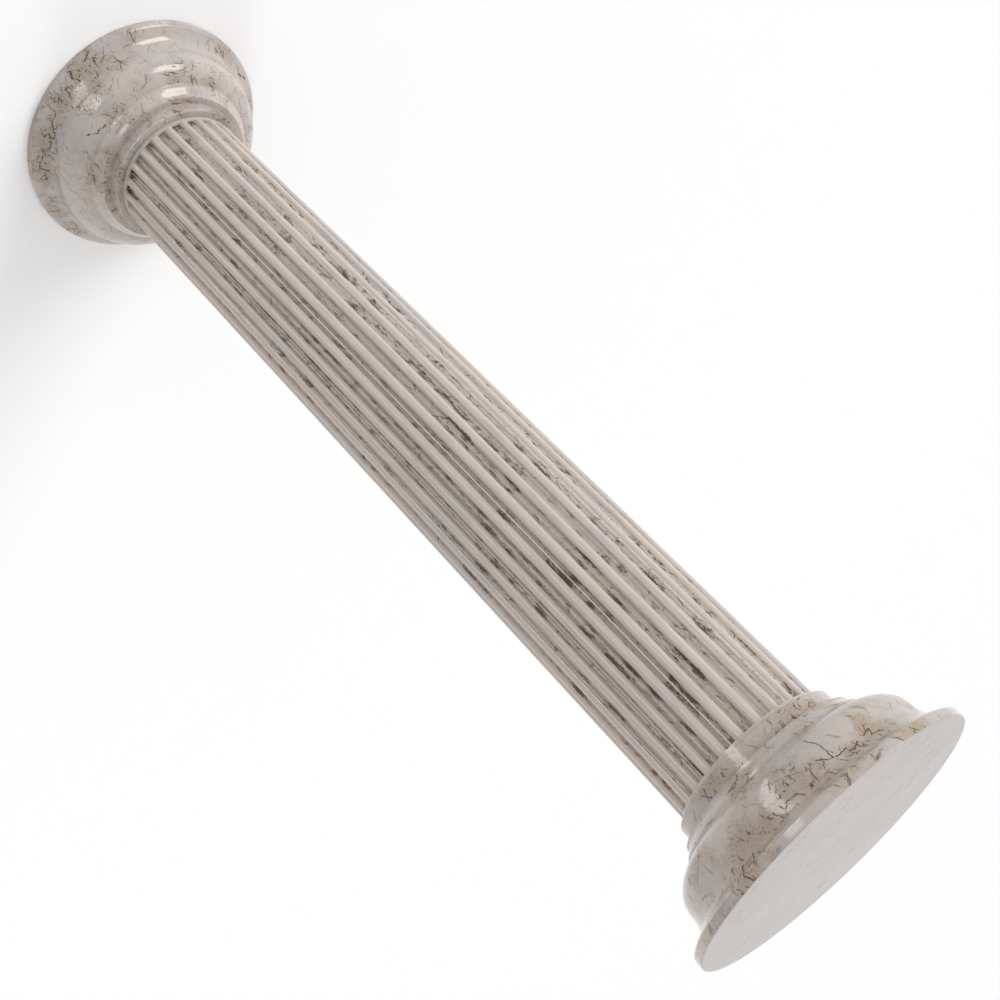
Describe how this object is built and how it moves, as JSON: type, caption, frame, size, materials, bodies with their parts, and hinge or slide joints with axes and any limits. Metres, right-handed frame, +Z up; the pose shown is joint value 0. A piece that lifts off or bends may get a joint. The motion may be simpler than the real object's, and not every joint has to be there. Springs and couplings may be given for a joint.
{
  "type": "round fluted marble column with a moulded base and a matching moulded capital",
  "caption": "Round fluted stone column that stands on a moulded circular base and carries a load on the flat top of a matching moulded capital.",
  "frame": {"origin": "centre of the flat underside of the base", "axes": "+Z up along the column's axis, +X through the crest of a rib"},
  "size_m": [0.618, 0.618, 2.4],
  "materials": {
    "base_marble": "polished veined marble",
    "shaft_marble": "polished veined marble, darker in the flutes",
    "capital_marble": "polished veined marble"
  },
  "bodies": {
    "root": {"base": "base_marble", "shaft": "shaft_marble", "capital": "capital_marble"}
  },
  "joints": []
}
